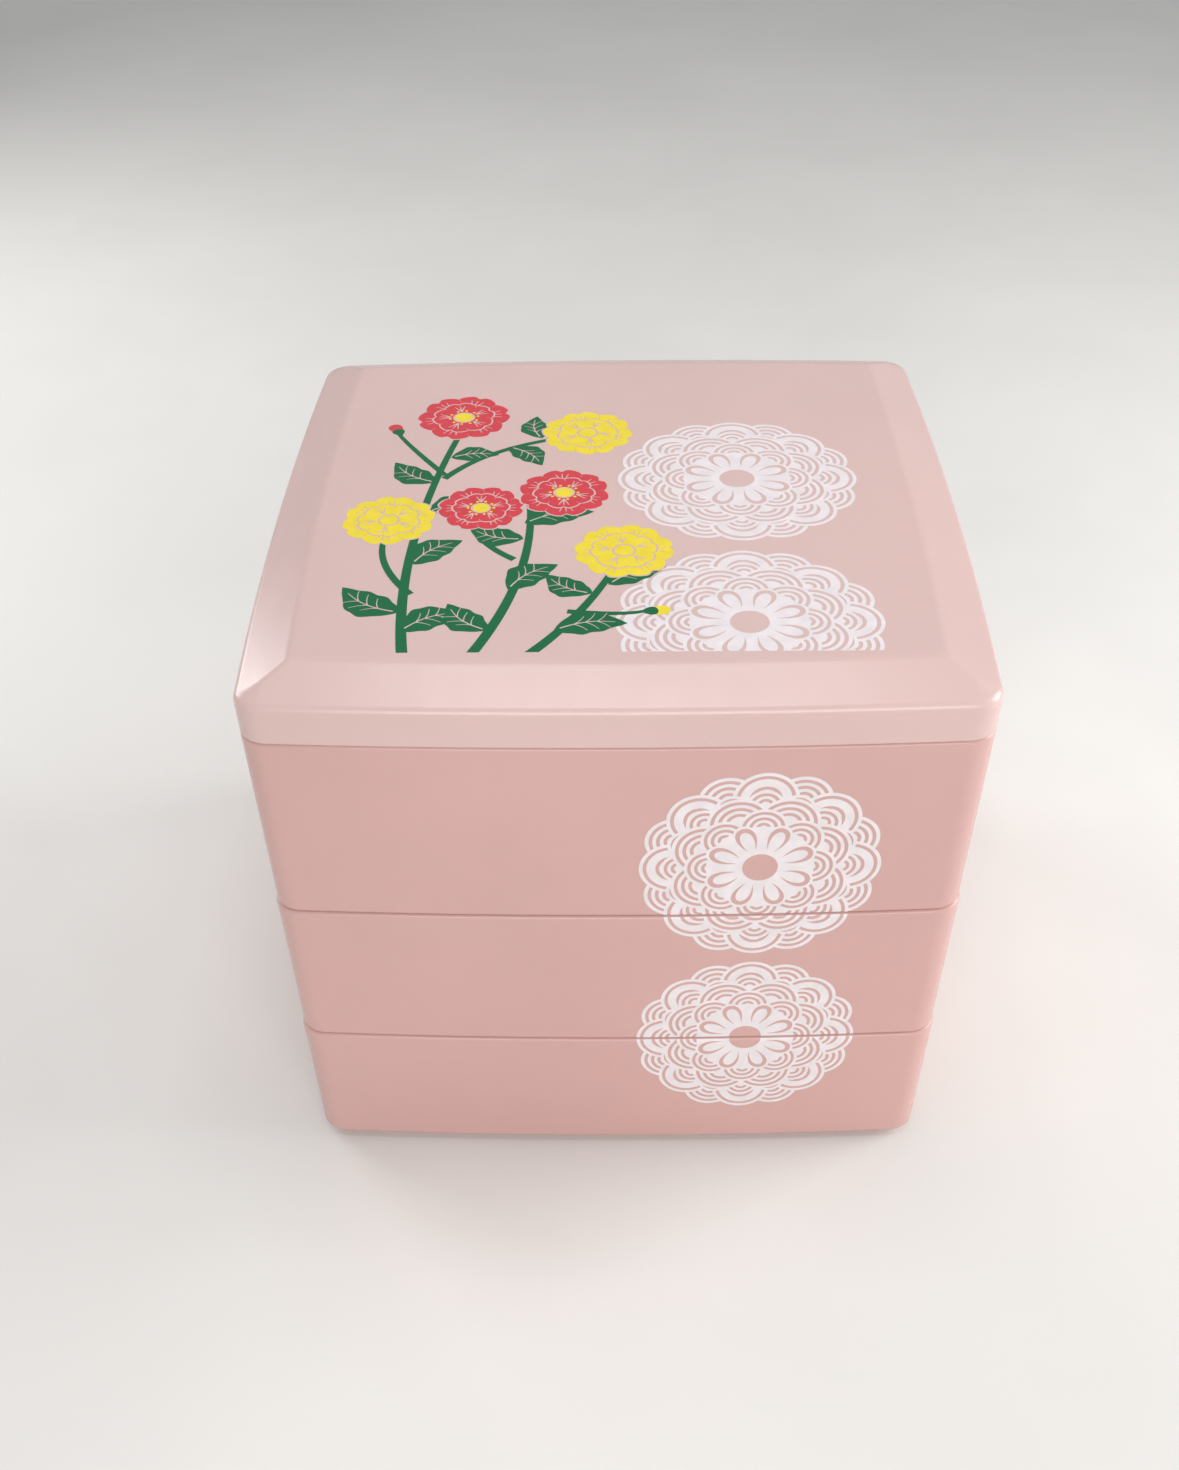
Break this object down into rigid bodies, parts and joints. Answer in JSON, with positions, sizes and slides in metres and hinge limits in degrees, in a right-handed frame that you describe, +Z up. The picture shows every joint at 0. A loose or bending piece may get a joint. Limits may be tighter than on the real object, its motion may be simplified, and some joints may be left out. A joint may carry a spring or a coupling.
{
  "type": "stacking food box",
  "caption": "Square stacking food box: three open tiers with slightly bowed sides and foot rings that seat in the tier below, under a bevelled lid.",
  "frame": {"origin": "on the standing surface, under the middle of the box", "axes": "+Z up through the tiers, -Y out of the printed front, +X to the right seen from the front"},
  "size_m": [0.185, 0.185, 0.1654],
  "materials": {
    "tier_pink": "moulded pale pink plastic, satin gloss",
    "lid_pink": "moulded pale pink plastic, satin gloss",
    "ink_white": "thin pearly white print",
    "ink_coral": "thin coral red print",
    "ink_yellow": "thin lemon yellow print",
    "ink_green": "thin deep green print"
  },
  "bodies": {
    "bottom_tier": {"bottom_tier": "tier_pink"},
    "middle_tier": {"middle_tier": "tier_pink"},
    "top_tier": {"top_tier": "tier_pink"},
    "lid": {"lid": "lid_pink"}
  },
  "joints": [
    {"name": "middle_lift", "type": "slide", "parent": "bottom_tier", "child": "middle_tier", "axis": [0, 0, 1], "range_m": [0, 0.09]},
    {"name": "top_lift", "type": "slide", "parent": "middle_tier", "child": "top_tier", "axis": [0, 0, 1], "range_m": [0, 0.09]},
    {"name": "lid_lift", "type": "slide", "parent": "top_tier", "child": "lid", "axis": [0, 0, 1], "range_m": [0, 0.09]}
  ]
}
